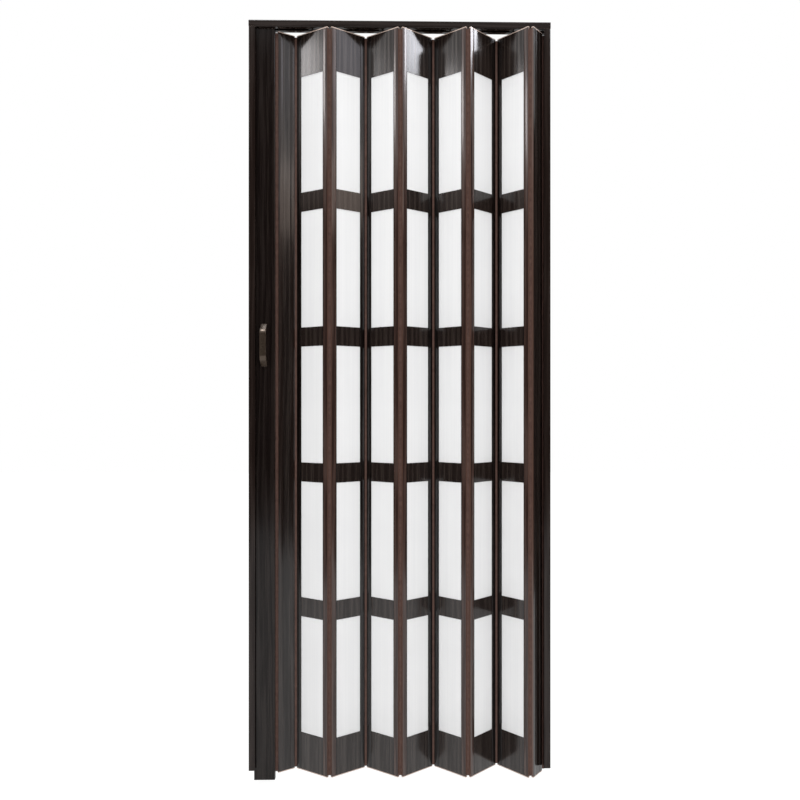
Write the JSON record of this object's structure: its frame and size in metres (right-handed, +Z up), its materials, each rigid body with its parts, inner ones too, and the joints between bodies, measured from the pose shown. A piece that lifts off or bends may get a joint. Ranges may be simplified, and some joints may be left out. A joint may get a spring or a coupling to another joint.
{
  "type": "folding door",
  "caption": "Concertina folding door of hollow wood-foil slats with opal panes, hung on gliders in a top rail between two jambs, with a bow handle.",
  "frame": {"origin": "middle of the rail's top face", "axes": "+Z up, +X to the right seen from the front, front towards -Y"},
  "size_m": [0.808, 0.082, 2.031],
  "materials": {
    "wenge_foil": "dark wood-grain foil, satin",
    "frame_foil": "dark wood-grain foil, satin",
    "opal": "opal white, smooth",
    "hinge_strip": "soft brown plastic",
    "nylon": "black, moulded, matt",
    "bronze": "bronze lacquer",
    "steel": "zinc plated"
  },
  "bodies": {
    "frame": {"top_rail": "frame_foil", "left_jamb": "frame_foil", "right_jamb": "frame_foil", "wall_post": "frame_foil"},
    "right_half": {"right_half_slat": "wenge_foil", "strip_9": "hinge_strip"},
    "slat_7": {"slat_7": "wenge_foil", "pane_7": "opal", "strip_8": "hinge_strip", "glider_7": "nylon"},
    "slat_6": {"slat_6": "wenge_foil", "pane_6": "opal", "strip_7": "hinge_strip"},
    "slat_5": {"slat_5": "wenge_foil", "pane_5": "opal", "strip_6": "hinge_strip", "glider_5": "nylon"},
    "slat_4": {"slat_4": "wenge_foil", "pane_4": "opal", "strip_5": "hinge_strip"},
    "slat_3": {"slat_3": "wenge_foil", "pane_3": "opal", "strip_4": "hinge_strip", "glider_3": "nylon"},
    "slat_2": {"slat_2": "wenge_foil", "pane_2": "opal", "strip_3": "hinge_strip"},
    "slat_1": {"slat_1": "wenge_foil", "pane_1": "opal", "strip_2": "hinge_strip", "glider_1": "nylon"},
    "left_half": {"left_half_slat": "wenge_foil", "strip_1": "hinge_strip"},
    "lead": {"lead_slat": "wenge_foil", "strip_0": "hinge_strip", "lead_glider": "nylon", "front_handle": "bronze", "back_handle": "bronze", "handle_studs": "steel"}
  },
  "joints": [
    {"name": "wall_fold", "type": "hinge", "parent": "frame", "child": "right_half", "pos_m": [0.3835, 0.00156, -1.0195], "axis": [0, 0, 1], "range_deg": [-1, 35.92], "deforming": ["strip_9"]},
    {"name": "fold_8", "type": "hinge", "parent": "right_half", "child": "slat_7", "pos_m": [0.34609, -0.03677, -1.0195], "axis": [0, 0, 1], "range_deg": [-76.3, 2.12], "deforming": ["strip_8"]},
    {"name": "fold_7", "type": "hinge", "parent": "slat_7", "child": "slat_6", "pos_m": [0.26554, 0.03384, -1.0195], "axis": [0, 0, 1], "range_deg": [-2.36, 84.61], "deforming": ["strip_7"]},
    {"name": "fold_6", "type": "hinge", "parent": "slat_6", "child": "slat_5", "pos_m": [0.18042, -0.03119, -1.0195], "axis": [0, 0, 1], "range_deg": [-91.73, 2.56], "deforming": ["strip_6"]},
    {"name": "fold_5", "type": "hinge", "parent": "slat_5", "child": "slat_4", "pos_m": [0.09173, 0.02888, -1.0195], "axis": [0, 0, 1], "range_deg": [-2.72, 97.67], "deforming": ["strip_5"]},
    {"name": "fold_4", "type": "hinge", "parent": "slat_4", "child": "slat_3", "pos_m": [0.00034, -0.02699, -1.0195], "axis": [0, 0, 1], "range_deg": [-102.42, 2.85], "deforming": ["strip_4"]},
    {"name": "fold_3", "type": "hinge", "parent": "slat_3", "child": "slat_2", "pos_m": [-0.09301, 0.02553, -1.0195], "axis": [0, 0, 1], "range_deg": [-2.95, 105.98], "deforming": ["strip_3"]},
    {"name": "fold_2", "type": "hinge", "parent": "slat_2", "child": "slat_1", "pos_m": [-0.1877, -0.02455, -1.0195], "axis": [0, 0, 1], "range_deg": [-108.36, 3.02], "deforming": ["strip_2"]},
    {"name": "fold_1", "type": "hinge", "parent": "slat_1", "child": "left_half", "pos_m": [-0.28315, 0.02405, -1.0195], "axis": [0, 0, 1], "range_deg": [-3.05, 109.54], "deforming": ["strip_1"]},
    {"name": "lead_fold", "type": "hinge", "parent": "left_half", "child": "lead", "pos_m": [-0.331, 0, -1.0195], "axis": [0, 0, 1], "range_deg": [-54.92, 1.53], "deforming": ["strip_0"]}
  ],
  "couplings": [
    {"joint": "fold_8", "follows": "wall_fold", "ratio": -2.124},
    {"joint": "fold_7", "follows": "wall_fold", "ratio": 2.3554},
    {"joint": "fold_6", "follows": "wall_fold", "ratio": -2.5537},
    {"joint": "fold_5", "follows": "wall_fold", "ratio": 2.719},
    {"joint": "fold_4", "follows": "wall_fold", "ratio": -2.8513},
    {"joint": "fold_3", "follows": "wall_fold", "ratio": 2.9505},
    {"joint": "fold_2", "follows": "wall_fold", "ratio": -3.0166},
    {"joint": "fold_1", "follows": "wall_fold", "ratio": 3.0496},
    {"joint": "lead_fold", "follows": "wall_fold", "ratio": -1.5289}
  ]
}
